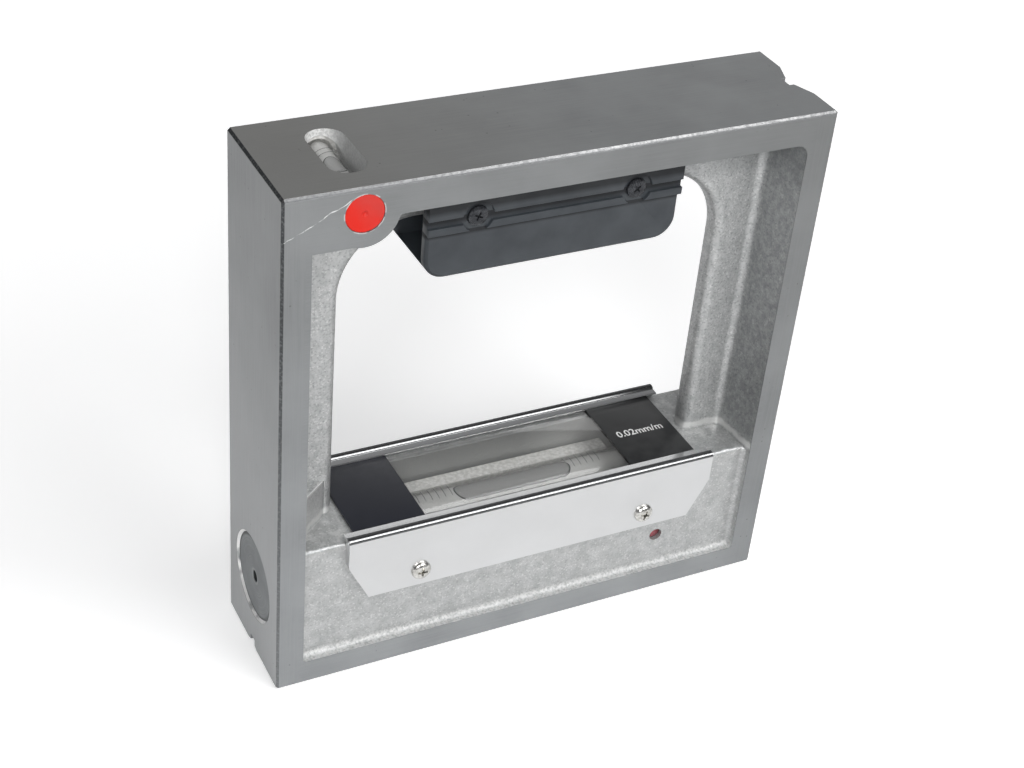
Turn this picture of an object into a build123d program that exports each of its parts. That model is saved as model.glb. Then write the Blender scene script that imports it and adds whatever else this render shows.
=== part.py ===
from build123d import *
import math
import os

os.makedirs("parts", exist_ok=True)

# Square frame level, 150 mm, for setting machine beds and columns true.
# X runs along the main vial, Y to the back, Z up; the origin is the middle of the ground base.

# Cast frame
SIDE = 150.0              # length and height of the square
RIM = 7.5                 # flange thickness at the left, right and bottom rims
RIM_TOP = 8.4             # flange thickness at the top rim
DRAFT = 1.6               # how much a flange thickens from rim to web
WEB = 6.5                 # web thickness
WEB_ROUND = 2.6           # rounding of the web's free edge
ROOT_R = 2.5              # casting fillet between web and flange
POCKET_R = 2.0            # inner corners of the cast pockets
WINDOW_SIDE = 21.0        # outer face to the side edge of the hand opening
WINDOW_DROP = 20.5        # top face to the upper edge of the opening
WINDOW_R = 20.0           # upper corners of the opening
LEDGE = 2.75              # depth of the vial housing's faces below the ground faces
LEDGE_R = 1.6             # casting fillet round those recessed faces
HOUSING_R = 1.2           # rounding of the housing's long upper edges
GROUND_EDGE = 0.7         # broken edge of the ground faces
GUSSET_HIGH = 12.0        # corner gussets at the foot of the left web
GUSSET_LEAN = 0.78        # their spread from the web, per unit of length

# Prism grooves with relief slots
PRISM_SLOPE = math.tan(math.radians(20))
BASE_PRISM_HALF = 5.0
BASE_RELIEF_HALF = 1.5
BASE_RELIEF_DEPTH = 3.2
SIDE_PRISM_HALF = 10.0
SIDE_RELIEF_HALF = 2.0
SIDE_RELIEF_DEPTH = 4.3

# Main vial, in a carrier that tilts on a pin inside the bore
VIAL_R = 7.0
VIAL_WALL = 1.2
VIAL_END = 2.5            # bevel of the sealed ends
VIAL_LAP = 1.0            # vial end beyond the end of the carrier's slot
VIAL_UP = 7.0             # vial axis above the bore axis
SEAT_WALL = 1.0
SEAT_LONG = 8.0
BUBBLE_HALF = 18.0
BUBBLE_REST = 1.5         # where the main bubble stands, right of the middle
BUBBLE_WIDE = 4.3         # half width of the main bubble
CARRIER_BED = 4.6         # carrier radius beyond the vial's
CARRIER_GAP = 1.0         # room for the carrier to tilt in the bore
CARRIER_END = 10.0        # carrier end to the end of the bore
CARRIER_BRIDGE = 9.0      # closed end of the carrier beside its slot
SLOT_EASE = 0.5           # carrier slot beyond the vial's radius
BORE_WALL = 3.4           # housing wall beside the bore
BORE_STOP = 15.0          # solid metal right of the blind bore
BORE_Z = 25.0
SHELF_RISE = 18.2         # bore axis to the shelf on top of the housing
SIGHT_END = 8.0           # shelf under each black plate, beyond the sight slot
SIGHT_LAND = 4.0          # shelf along each side of the sight slot
PIVOT_IN = 8.5            # carrier end to the pivot pin
PIVOT_RISE = 4.6          # pin axis above the carrier's underside
PIVOT_R = 2.0
PIVOT_SKIN = 3.0          # housing left in front of the pin's blind end
PIVOT_SET_BACK = 1.0      # the pin's driven end, below the back of the housing
ADJUST_IN = 8.5           # carrier end to the adjuster
ADJUST_R = 1.9
ADJUST_SET_BACK = 1.5     # spindle head behind the housing face
ADJUST_THROW = 0.5
ADJUST_STEP = 0.2         # shoulder of the spindle beyond its eccentric tip
ADJUST_REACH = 3.2        # tip end, in front of the middle
ADJUST_ROOM = 1.0         # slot length beyond the tip, behind it and to each side
SEAL_THICK = 0.7
PLUG_STEP = 0.4           # plug radius beyond the bore's
PLUG_THICK = 4.0
PLUG_RECESS = 0.6
PLUG_HOLE_R = 1.6
PLUG_HOLE_DEEP = 2.0

# Cover over the sight slot
PLATE = 1.0               # thickness of the clear and black plates
PLATE_INSET = 0.8         # plates' long edges inside the housing faces
PLATE_SHORT = 3.2         # black plates' ends inside the covers' ends
BLACK_LONG = 20.5         # length of each black plate
COVER = 2.5               # thickness of the side covers
COVER_SIDE = 19.8         # outer face of the frame to the end of the covers
COVER_CUT = 6.0           # slanted lower corners, along the lower edge
COVER_DROP = 18.3         # shelf to the lower edge
COVER_KNEE_DROP = 6.8     # shelf to where the slanted corners begin
COVER_RISE = 1.4          # rounded upper edge above the plates
COVER_ROUND = 1.1
LIP = 0.6                 # lip thickness
LIP_REACH = 2.0           # lip width over the plates
SCREW_IN = 14.9           # end of the covers' lower edge to the screws
SCREW_UP = 5.0            # screws above the bore axis
SCREW_R = 1.5
SCREW_HEAD_R = 2.8
SCREW_HEAD = 1.5
SCREW_GRIP = 4.0          # thread inside the casting

# Hand grip
GRIP_HALF = 35.3
GRIP_HIGH = 23.9
GRIP_EASE = 1.4           # flange rim to the top of the grip
GRIP_WIDE = 11.0          # half width over the plain walls
GRIP_WALL = 2.5
GRIP_RIB = 1.0            # how far the ribs stand out
RIB_LOW = 11.0            # grip top to the foot of the lower rib
RIB_LOW_HIGH = 2.0        # height of the lower rib
RIB_TOP_HIGH = 6.8        # height of the band along the top
GRIP_END_R = 5.8
GRIP_EDGE = 0.8           # bevel along the bottom edges
GRIP_SCREW_X = 22.0
GRIP_SCREW_DROP = 7.4     # grip top to its screws
GRIP_HEAD_R = 2.75
GRIP_HEAD = 0.9
GRIP_POCKET_R = 4.2
PAD_R = 3.2

# Cross vial
CROSS_IN = 20.2           # left face to the cross bore
CROSS_DROP = 6.8          # top face to the cross bore
CROSS_BORE_R = 5.0
CROSS_BOSS = 4.0          # boss wall round the cross bore
CORNER_IN = 18.0          # solid corner beside the boss, from the left face
CORNER_DROP = 15.4        # its depth from the top face
CROSS_SEAT = 1.0          # cement round the cross vial
CROSS_WALL = 0.8
CROSS_ROOM = 1.75         # cross vial end to its plug
CROSS_END = 1.5
CROSS_SLOT_END = 2.8      # cross vial end to the end of its slot
CROSS_SEAT_LONG = 3.4
CROSS_PLUG = 3.0
CROSS_BUBBLE_HALF = 4.0
CROSS_BUBBLE_WIDE = 2.2
CROSS_DIMPLE_R = 0.6

# Clearances
RUN = 0.05                # running clearance, radial
FIT = 0.02                # seated clearance, radial

# Depth follows from the vial outwards: carrier, bore, housing walls, ground faces.
CARRIER_R = VIAL_R + CARRIER_BED
BORE_R = CARRIER_R + CARRIER_GAP
HOUSING_HALF = BORE_R + BORE_WALL
DEPTH = 2 * (HOUSING_HALF + LEDGE)
FRONT = -DEPTH / 2
BACK = DEPTH / 2
SIGHT_WIDE = HOUSING_HALF - SIGHT_LAND
PLATE_WIDE = HOUSING_HALF - PLATE_INSET
PIVOT_BLIND = HOUSING_HALF - PIVOT_SKIN
CARRIER_SLOT_WIDE = VIAL_R + SLOT_EASE
PLUG_R = BORE_R + PLUG_STEP

# Lengths follow from the square inwards: covers, plates, bore, carrier, vial.
WINDOW_HALF = SIDE / 2 - WINDOW_SIDE
COVER_HALF = SIDE / 2 - COVER_SIDE
COVER_LOWER = COVER_HALF - COVER_CUT
BLACK_END = COVER_HALF - PLATE_SHORT
CLEAR_HALF = BLACK_END - BLACK_LONG
SIGHT_HALF = BLACK_END - SIGHT_END
BORE_END = SIDE / 2 - BORE_STOP
CARRIER_HALF = BORE_END - CARRIER_END
CARRIER_SLOT_HALF = CARRIER_HALF - CARRIER_BRIDGE
VIAL_HALF = CARRIER_SLOT_HALF + VIAL_LAP
PIVOT_X = -CARRIER_HALF + PIVOT_IN
ADJUST_X = CARRIER_HALF - ADJUST_IN
ADJUST_TIP_R = ADJUST_R - ADJUST_THROW - ADJUST_STEP
SCREW_X = COVER_LOWER - SCREW_IN

# Heights of the housing go up from the bore, those of the grip and cross vial down from the top.
SHELF = BORE_Z + SHELF_RISE
VIAL_Z = BORE_Z + VIAL_UP
PIVOT_Z = BORE_Z - CARRIER_R + PIVOT_RISE
SCREW_Z = BORE_Z + SCREW_UP
COVER_FOOT = SHELF - COVER_DROP
COVER_KNEE = SHELF - COVER_KNEE_DROP
WINDOW_TOP = SIDE - WINDOW_DROP
GRIP_TOP = SIDE - RIM_TOP - GRIP_EASE
GRIP_BOTTOM = GRIP_TOP - GRIP_HIGH
GRIP_SCREW_Z = GRIP_TOP - GRIP_SCREW_DROP
CROSS_X = -SIDE / 2 + CROSS_IN
CROSS_Z = SIDE - CROSS_DROP
CORNER_X = -SIDE / 2 + CORNER_IN
CORNER_Z = SIDE - CORNER_DROP
CROSS_R = CROSS_BORE_R - CROSS_SEAT
CROSS_BOSS_R = CROSS_BORE_R + CROSS_BOSS
CROSS_HALF = DEPTH / 2 - CROSS_PLUG - CROSS_ROOM
CROSS_SLOT_HALF = CROSS_HALF - CROSS_SLOT_END
CROSS_SLOT_WIDE = CROSS_BORE_R


def bar(x0, x1, y0, y1, z0, z1):
    """A block between two corners."""
    return Pos((x0 + x1) / 2, (y0 + y1) / 2, (z0 + z1) / 2) * Box(x1 - x0, y1 - y0, z1 - z0)


def rod_x(r, x0, x1, y, z):
    """A round rod along X."""
    return Pos((x0 + x1) / 2, y, z) * Rot(0, 90, 0) * Cylinder(r, x1 - x0)


def rod_y(r, y0, y1, x, z):
    """A round rod along Y."""
    return Pos(x, (y0 + y1) / 2, z) * Rot(90, 0, 0) * Cylinder(r, y1 - y0)


def upright(y):
    """The vertical plane at y, seen from the front: local x is X, local y is Z."""
    return Plane(origin=(0, y, 0), x_dir=(1, 0, 0), z_dir=(0, -1, 0))


def slab(points, y0, y1):
    """An upright outline in X and Z, from y0 back to y1."""
    return extrude(upright(y1) * make_face(Polyline(*points, close=True)), amount=y1 - y0)


def mirror_y(shape):
    """The same piece on the back."""
    return mirror(shape, about=Plane.XZ)


def near_y(edges, y, slack=0.05):
    """Edges that lie wholly at one depth."""
    return [e for e in edges if all(abs(p.Y - y) < slack for p in (e @ 0, e @ 0.5, e @ 1))]


# Cast frame: ground outside, rough cast inside, with the vial housing along the bottom.
def pocket():
    """The deep front pocket above the shelf, drafted like the pattern."""
    floor_y = -WEB / 2
    deep = floor_y - FRONT
    wide = SIDE / 2 - RIM - DRAFT
    high = SIDE - RIM_TOP - DRAFT
    low = SHELF - 2 * DRAFT
    plain = Pos(0, (low + high) / 2) * Rectangle(2 * wide, high - low)
    floor = fillet([v for v in plain.vertices() if v.Y > SHELF], POCKET_R)
    lean = math.degrees(math.atan(DRAFT / deep))
    cut = extrude(upright(floor_y) * floor, amount=deep, taper=-lean)
    cut &= bar(-SIDE / 2, SIDE / 2, FRONT, 0, SHELF, SIDE)
    roots = [e for e in near_y(cut.edges(), floor_y) if (e @ 0.5).Z > SHELF + 1]
    return fillet(roots, ROOT_R)


def ledge():
    """The shallow recess in front of the vial housing."""
    wide = SIDE / 2 - RIM
    high = SHELF + POCKET_R
    mouth = Pos(0, (RIM + high) / 2) * RectangleRounded(2 * wide, high - RIM, POCKET_R / 2)
    cut = extrude(upright(-HOUSING_HALF) * mouth, amount=BACK - HOUSING_HALF)
    return fillet(near_y(cut.edges(), -HOUSING_HALF), min(LEDGE_R, 0.9 * LEDGE))


def prism_groove(half, relief_half, relief_depth):
    """A prism groove in the base plane, long enough for either ground face."""
    reach = SIDE / 2 + 1
    flank = (half - relief_half) * PRISM_SLOPE
    outline = Polyline(
        (-half - 1, -PRISM_SLOPE), (-relief_half, flank), (-relief_half, relief_depth),
        (relief_half, relief_depth), (relief_half, flank), (half + 1, -PRISM_SLOPE), close=True)
    across = Plane(origin=(-reach, 0, 0), x_dir=(0, 1, 0), z_dir=(1, 0, 0))
    return extrude(across * make_face(outline), amount=2 * reach)


body = chamfer(bar(-SIDE / 2, SIDE / 2, FRONT, BACK, 0, SIDE).edges(), GROUND_EDGE)
corner = rod_y(CROSS_BOSS_R, FRONT, BACK, CROSS_X, CROSS_Z)
corner += bar(-SIDE / 2, CORNER_X, FRONT, BACK, CORNER_Z, SIDE)
hollow = pocket() - corner
hollow_low = ledge()
body -= hollow
body -= mirror_y(hollow)
body -= hollow_low
body -= mirror_y(hollow_low)
toe = -WINDOW_HALF - WEB_ROUND
heel = -SIDE / 2 + RIM / 2
spread = -WEB / 2 - (toe - heel) * GUSSET_LEAN
wedge = Polyline((toe, -WEB / 2), (heel, -WEB / 2), (heel, spread), close=True)
gusset = extrude(Pos(0, 0, SHELF) * make_face(wedge), amount=GUSSET_HIGH)
opening = bar(-WINDOW_HALF, WINDOW_HALF, -WEB, WEB, SHELF, WINDOW_TOP)
upper = [e for e in opening.edges().filter_by(Axis.Y) if (e @ 0).Z > SHELF + 1]
opening = fillet(upper, WINDOW_R)
body -= opening
rim_edges = []
for e in body.edges():
    mid = e @ 0.5
    on_web = abs(abs(mid.Y) - WEB / 2) < 0.01 and SHELF + 0.1 < mid.Z < WINDOW_TOP + 0.1
    if on_web and abs(mid.X) < WINDOW_HALF + 0.1:
        rim_edges.append(e)
body = fillet(rim_edges, min(WEB_ROUND, 0.45 * WEB))
shelf_edges = []
for e in body.edges().filter_by(Axis.X):
    mid = e @ 0.5
    if abs(mid.Z - SHELF) < 0.01 and abs(abs(mid.Y) - HOUSING_HALF) < 0.01:
        shelf_edges.append(e)
body = fillet(shelf_edges, HOUSING_R)
body += gusset
body += mirror_y(gusset)
for sx in (-1, 1):
    body += rod_y(PAD_R, -GRIP_WIDE + GRIP_WALL, GRIP_WIDE - GRIP_WALL, sx * GRIP_SCREW_X, GRIP_SCREW_Z)
    body -= rod_y(SCREW_R, -GRIP_WIDE, GRIP_WIDE, sx * GRIP_SCREW_X, GRIP_SCREW_Z)
body -= prism_groove(BASE_PRISM_HALF, BASE_RELIEF_HALF, BASE_RELIEF_DEPTH)
side_groove = prism_groove(SIDE_PRISM_HALF, SIDE_RELIEF_HALF, SIDE_RELIEF_DEPTH)
body -= Pos(SIDE / 2, 0, SIDE / 2) * Rot(0, -90, 0) * side_groove
body -= rod_x(BORE_R, -SIDE / 2, BORE_END, 0, BORE_Z)
body -= rod_x(PLUG_R + FIT, -SIDE / 2, -SIDE / 2 + PLUG_RECESS + PLUG_THICK, 0, BORE_Z)
sight = bar(-SIGHT_HALF, SIGHT_HALF, -SIGHT_WIDE, SIGHT_WIDE, BORE_Z, SHELF)
body -= fillet(sight.edges().filter_by(Axis.Z), POCKET_R)
body -= rod_y(PIVOT_R + FIT, -PIVOT_BLIND, HOUSING_HALF, PIVOT_X, PIVOT_Z)
body -= rod_y(ADJUST_R + RUN, -HOUSING_HALF, 0, ADJUST_X, PIVOT_Z)
for sx in (-1, 1):
    hole = rod_y(SCREW_R + FIT, -HOUSING_HALF, -HOUSING_HALF + SCREW_GRIP, sx * SCREW_X, SCREW_Z)
    body -= hole
    body -= mirror_y(hole)
body -= rod_y(CROSS_BORE_R, FRONT, BACK, CROSS_X, CROSS_Z)
cross_sight = bar(CROSS_X - CROSS_SLOT_WIDE, CROSS_X + CROSS_SLOT_WIDE,
                  -CROSS_SLOT_HALF, CROSS_SLOT_HALF, CROSS_Z, SIDE)
body -= fillet(cross_sight.edges().filter_by(Axis.Z), CROSS_SLOT_WIDE - FIT)
export_step(body, "parts/frame_casting.step")

# Bore plug: pressed disc that closes the bore on the left, with a puller hole.
plug_out = -SIDE / 2 + PLUG_RECESS
plug = rod_x(PLUG_R, plug_out, plug_out + PLUG_THICK, 0, BORE_Z)
plug -= rod_x(PLUG_HOLE_R, plug_out, plug_out + PLUG_HOLE_DEEP, 0, BORE_Z)
export_step(plug, "parts/bore_plug.step")

# Carrier: turned bar with an off-centre bore for the vial and a slot to see it through.
seat_bore = VIAL_R + SEAT_WALL
carrier = rod_x(CARRIER_R, -CARRIER_HALF, CARRIER_HALF, 0, BORE_Z)
carrier -= rod_x(seat_bore, -CARRIER_HALF, CARRIER_HALF, 0, VIAL_Z)
carrier -= bar(-CARRIER_SLOT_HALF, CARRIER_SLOT_HALF, -CARRIER_SLOT_WIDE, CARRIER_SLOT_WIDE,
               VIAL_Z, BORE_Z + CARRIER_R)
carrier -= rod_y(PIVOT_R + RUN, -CARRIER_R, CARRIER_R, PIVOT_X, PIVOT_Z)
tip_room = ADJUST_TIP_R + RUN
slot_x = ADJUST_X + ADJUST_THROW
slot_reach = ADJUST_TIP_R + ADJUST_ROOM
carrier -= bar(slot_x - slot_reach, slot_x + slot_reach, -CARRIER_R, -ADJUST_REACH + ADJUST_ROOM,
               PIVOT_Z - tip_room, PIVOT_Z + tip_room)
export_step(carrier, "parts/vial_carrier.step")

# Main vial: sealed glass tube, its spirit, and the bubble that rides under the crown.
def vial(r, half, end, wall):
    """A sealed tube along X about the origin, hollow inside."""
    outer = rod_x(r, -half, half, 0, 0)
    outer = chamfer(outer.edges().filter_by(GeomType.CIRCLE), end)
    inner = rod_x(r - wall, -half + 2 * wall, half - 2 * wall, 0, 0)
    return outer - inner


def spirit(r, half, wide):
    """The filling along X about the origin, level below the head room."""
    level = math.sqrt(r * r - wide * wide)
    return rod_x(r, -half, half, 0, 0) - bar(-half, half, -r, r, level, r)


def bubble(r, half, wide):
    """The bubble on that level, round ended in plan."""
    level = math.sqrt(r * r - wide * wide)
    plan = extrude(Pos(0, 0, level + RUN) * SlotOverall(2 * half, 2 * wide), amount=r)
    return plan & rod_x(r - RUN, -half, half, 0, 0)


main_at = Pos(0, 0, VIAL_Z)
main_inner = VIAL_R - VIAL_WALL
main_fill = main_inner - RUN
export_step(main_at * vial(VIAL_R, VIAL_HALF, VIAL_END, VIAL_WALL), "parts/main_vial.step")
main_fill_half = VIAL_HALF - 2 * VIAL_WALL - RUN
export_step(main_at * spirit(main_fill, main_fill_half, BUBBLE_WIDE), "parts/main_spirit.step")
main_gas = main_at * Pos(BUBBLE_REST, 0, 0) * bubble(main_fill, BUBBLE_HALF, BUBBLE_WIDE)
export_step(main_gas, "parts/main_bubble.step")

# Vial seats: two cast plaster rings that hold the ends of the vial in the carrier.
seats = []
for sx in (-1, 1):
    x0, x1 = sorted((sx * (VIAL_HALF - VIAL_END), sx * (VIAL_HALF - VIAL_END - SEAT_LONG)))
    ring = rod_x(seat_bore, x0, x1, 0, VIAL_Z) - rod_x(VIAL_R + FIT, x0, x1, 0, VIAL_Z)
    under_slot = bar(x0, x1, -seat_bore, seat_bore, VIAL_Z, VIAL_Z + seat_bore)
    seats.append(ring - under_slot)
export_step(Compound(seats), "parts/vial_seats.step")

# Pivot pin: dowel driven in from the back, on which the carrier tilts.
pin = rod_y(PIVOT_R, -PIVOT_BLIND, HOUSING_HALF - PIVOT_SET_BACK, PIVOT_X, PIVOT_Z)
export_step(pin, "parts/carrier_pivot_pin.step")

# Zero adjuster: spindle with an eccentric tip in the carrier's slot, sealed with red lacquer.
head_y = -HOUSING_HALF + ADJUST_SET_BACK
neck_y = -math.sqrt(BORE_R ** 2 - (BORE_Z - PIVOT_Z - ADJUST_R) ** 2)
adjuster = rod_y(ADJUST_R, head_y, neck_y, ADJUST_X, PIVOT_Z)
adjuster += rod_y(ADJUST_TIP_R, neck_y, -ADJUST_REACH, ADJUST_X + ADJUST_THROW, PIVOT_Z)
export_step(adjuster, "parts/zero_adjuster.step")
seal = rod_y(ADJUST_R, head_y - SEAL_THICK, head_y, ADJUST_X, PIVOT_Z)
export_step(seal, "parts/adjuster_seal.step")

# Sight plates: a clear plate between two black end plates, all lying on the shelf.
plate_top = SHELF + PLATE
window = bar(-CLEAR_HALF, CLEAR_HALF, -PLATE_WIDE, PLATE_WIDE, SHELF, plate_top)
export_step(window, "parts/window_plate.step")
left_end = bar(-BLACK_END, -CLEAR_HALF, -PLATE_WIDE, PLATE_WIDE, SHELF, plate_top)
export_step(left_end, "parts/left_end_plate.step")
right_end = bar(CLEAR_HALF, BLACK_END, -PLATE_WIDE, PLATE_WIDE, SHELF, plate_top)
export_step(right_end, "parts/right_end_plate.step")

# Side covers: bright drawn plates with a rounded crest and a lip that holds the sight plates down.
cover_out = -HOUSING_HALF - COVER
cover_top = plate_top + COVER_RISE
cover = slab(
    [(-COVER_LOWER, COVER_FOOT), (COVER_LOWER, COVER_FOOT), (COVER_HALF, COVER_KNEE),
     (COVER_HALF, cover_top), (-COVER_HALF, cover_top), (-COVER_HALF, COVER_KNEE)],
    cover_out, -HOUSING_HALF)
crest = [e for e in cover.edges().filter_by(Axis.X) if abs((e @ 0.5).Z - cover_top) < 0.01]
cover = fillet(crest, min(COVER_ROUND, 0.45 * COVER))
cover += bar(-COVER_HALF, COVER_HALF, cover_out + COVER / 2, -HOUSING_HALF + LIP_REACH,
             plate_top, plate_top + LIP)
for sx in (-1, 1):
    cover -= rod_y(SCREW_R + FIT, cover_out, -HOUSING_HALF, sx * SCREW_X, SCREW_Z)
export_step(cover, "parts/front_cover.step")
export_step(mirror_y(cover), "parts/rear_cover.step")

# Cover screws: pan heads, two at the front and two at the back.
screws = []
for sx in (-1, 1):
    x = sx * SCREW_X
    head = rod_y(SCREW_HEAD_R, cover_out - SCREW_HEAD, cover_out, x, SCREW_Z)
    crown = [e for e in head.edges().filter_by(GeomType.CIRCLE) if e.center().Y < cover_out - SCREW_HEAD / 2]
    head = chamfer(crown, SCREW_HEAD / 2)
    shank = rod_y(SCREW_R, cover_out, -HOUSING_HALF + SCREW_GRIP - FIT, x, SCREW_Z)
    screws.append(head + shank)
export_step(Compound(screws), "parts/front_cover_screws.step")
export_step(Compound([mirror_y(s) for s in screws]), "parts/rear_cover_screws.step")

# Hand grip: moulded channel round the top web, ribbed along its upper half.
grip = bar(-GRIP_HALF, GRIP_HALF, -GRIP_WIDE, GRIP_WIDE, GRIP_BOTTOM, GRIP_TOP)
rib_foot = GRIP_TOP - RIB_LOW
for z0, z1 in ((rib_foot, rib_foot + RIB_LOW_HIGH), (GRIP_TOP - RIB_TOP_HIGH, GRIP_TOP)):
    grip += bar(-GRIP_HALF, GRIP_HALF, -GRIP_WIDE - GRIP_RIB, GRIP_WIDE + GRIP_RIB, z0, z1)
ends = [e for e in grip.edges().filter_by(Axis.Y) if (e @ 0).Z < GRIP_BOTTOM + 0.1]
grip = fillet(ends, GRIP_END_R)
keel = []
for e in grip.edges().filter_by(Axis.X):
    if abs((e @ 0.5).Z - GRIP_BOTTOM) < 0.01:
        keel.append(e)
grip = chamfer(keel, GRIP_EDGE)
inside = GRIP_WIDE - GRIP_WALL
grip -= bar(-GRIP_HALF, GRIP_HALF, -inside, inside, GRIP_BOTTOM + GRIP_WALL, GRIP_TOP)
for sx in (-1, 1):
    x = sx * GRIP_SCREW_X
    for y0, y1 in ((-GRIP_WIDE - GRIP_RIB, -GRIP_WIDE), (GRIP_WIDE, GRIP_WIDE + GRIP_RIB)):
        grip -= rod_y(GRIP_POCKET_R, y0, y1, x, GRIP_SCREW_Z)
    grip -= rod_y(SCREW_R + FIT, -GRIP_WIDE, GRIP_WIDE, x, GRIP_SCREW_Z)
export_step(grip, "parts/hand_grip.step")

# Grip screws: low heads sunk between the ribs, threaded into the web pads.
grip_screws = []
for sx in (-1, 1):
    x = sx * GRIP_SCREW_X
    head = rod_y(GRIP_HEAD_R, -GRIP_WIDE - GRIP_HEAD, -GRIP_WIDE, x, GRIP_SCREW_Z)
    shank = rod_y(SCREW_R - FIT, -GRIP_WIDE, -WEB / 2, x, GRIP_SCREW_Z)
    grip_screws.append(head + shank)
    grip_screws.append(mirror_y(head + shank))
export_step(Compound(grip_screws), "parts/grip_screws.step")

# Cross vial: short sealed vial across the frame, seen through the oval slot on top.
cross_at = Pos(CROSS_X, 0, CROSS_Z) * Rot(0, 0, 90)
cross_fill = CROSS_R - CROSS_WALL - RUN
cross_fill_half = CROSS_HALF - 2 * CROSS_WALL - RUN
export_step(cross_at * vial(CROSS_R, CROSS_HALF, CROSS_END, CROSS_WALL), "parts/cross_vial.step")
export_step(cross_at * spirit(cross_fill, cross_fill_half, CROSS_BUBBLE_WIDE), "parts/cross_spirit.step")
export_step(cross_at * bubble(cross_fill, CROSS_BUBBLE_HALF, CROSS_BUBBLE_WIDE), "parts/cross_bubble.step")

# Cross vial seats: two cement rings that hold it in the bore.
rings = []
for sy in (-1, 1):
    y0, y1 = sorted((sy * (CROSS_HALF - CROSS_END), sy * (CROSS_HALF - CROSS_END - CROSS_SEAT_LONG)))
    ring = rod_y(CROSS_BORE_R - FIT, y0, y1, CROSS_X, CROSS_Z)
    ring -= rod_y(CROSS_R + FIT, y0, y1, CROSS_X, CROSS_Z)
    above = bar(CROSS_X - CROSS_BORE_R, CROSS_X + CROSS_BORE_R, y0, y1, CROSS_Z, SIDE)
    rings.append(ring - above)
export_step(Compound(rings), "parts/cross_vial_seats.step")

# Cross bore plugs: red moulded buttons, flush with the front and back faces.
button = rod_y(CROSS_BORE_R - FIT, FRONT, FRONT + CROSS_PLUG, CROSS_X, CROSS_Z)
button -= rod_y(CROSS_DIMPLE_R, FRONT, FRONT + CROSS_DIMPLE_R, CROSS_X, CROSS_Z)
export_step(button, "parts/cross_front_plug.step")
export_step(mirror_y(button), "parts/cross_rear_plug.step")
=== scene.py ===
import bmesh
import bpy
import math
from mathutils import Matrix, Vector


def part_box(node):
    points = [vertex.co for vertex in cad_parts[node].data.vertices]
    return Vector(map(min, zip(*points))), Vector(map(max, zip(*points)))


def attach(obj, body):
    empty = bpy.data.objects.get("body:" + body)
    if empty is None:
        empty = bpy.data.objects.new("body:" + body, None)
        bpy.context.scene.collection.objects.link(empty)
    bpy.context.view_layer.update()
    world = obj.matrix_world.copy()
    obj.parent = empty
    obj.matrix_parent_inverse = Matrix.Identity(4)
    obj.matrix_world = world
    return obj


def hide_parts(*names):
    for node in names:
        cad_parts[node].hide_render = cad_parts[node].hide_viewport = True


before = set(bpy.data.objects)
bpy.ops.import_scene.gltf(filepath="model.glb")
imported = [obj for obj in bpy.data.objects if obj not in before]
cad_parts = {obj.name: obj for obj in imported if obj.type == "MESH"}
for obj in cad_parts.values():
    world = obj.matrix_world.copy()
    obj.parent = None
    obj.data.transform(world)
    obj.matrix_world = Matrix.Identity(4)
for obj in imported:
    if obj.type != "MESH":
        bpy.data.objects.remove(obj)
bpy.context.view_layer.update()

# Studio: the level stands on a white table and is seen from the front left, well above it.
# One broad lamp in front makes the light lines on rounded metal, one beside the camera lights the hollows,
# and the dim room above keeps the ground top face dark.
MM = 0.001
CAMERA_AT = Vector((-201.75, -354.83, 354.28)) * MM
CAMERA_AIM = Vector((-1.677, 0.0, 70.715)) * MM
CAMERA_ROLL = math.radians(5.6804)
CAMERA_LENS = 64.83
LAMPS = (
    ("front_lamp", (0.50, -0.85, 1.05), (0, 0, 0.07), 0.9, 0.9, 13.0),
    ("camera_lamp", (-0.62, -1.06, 0.86), (0, 0, 0.05), 0.6, 0.6, 11.5),
    ("back_strip", (0.70, 1.45, 0.50), (0, 0, 0.05), 2.4, 0.22, 2.0),
)
ROOM_GREY = (0.52, 0.523, 0.525, 1)
ROOM_DARK = (0.09, 0.09, 0.095, 1)
TABLE_WHITE = (0.90, 0.90, 0.90, 1)
TABLE_PALE = (0.88, 0.88, 0.88, 1)
TABLE_RADIUS = 12.0
TABLE_TOP = -0.2 * MM
TABLE_LIFT = 0.38
TABLE_LIFT_FAR = 0.62
TABLE_LIFT_MIRRORED = 0.14


def feed(tree, node, inputs):
    """Gives a node its inputs: the output of another node is linked, anything else is set."""
    for name, value in inputs.items():
        if isinstance(value, bpy.types.NodeSocket):
            tree.links.new(value, node.inputs[name])
        else:
            node.inputs[name].default_value = value


def wire(tree, kind, inputs, out=0, **settings):
    """One node with its settings and inputs; gives one of its outputs."""
    node = tree.nodes.new(kind)
    for name, value in settings.items():
        setattr(node, name, value)
    feed(tree, node, inputs)
    return node.outputs[out]


def calc(tree, operation, a, b=0.0):
    """One sum on two values."""
    return wire(tree, "ShaderNodeMath", {0: a, 1: b}, operation=operation)


def both(tree, share, *others):
    """Where all of these shares hold together: their product."""
    for other in others:
        share = calc(tree, "MULTIPLY", share, other)
    return share


def spread(tree, value, low, high, to_low=0.0, to_high=1.0):
    """Brings a value from one range to another and holds it there."""
    ends = {"Value": value, "From Min": low, "From Max": high, "To Min": to_low, "To Max": to_high}
    return wire(tree, "ShaderNodeMapRange", ends)


def tint(tree, share, plain, other):
    """Goes from one colour to another by a share."""
    return wire(tree, "ShaderNodeMix", {0: share, 6: plain, 7: other}, 2, data_type="RGBA")


def axes_of(tree, place):
    """The three measures of a place: X, Y and Z."""
    return wire(tree, "ShaderNodeSeparateXYZ", {"Vector": place}).node.outputs[:3]


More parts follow.
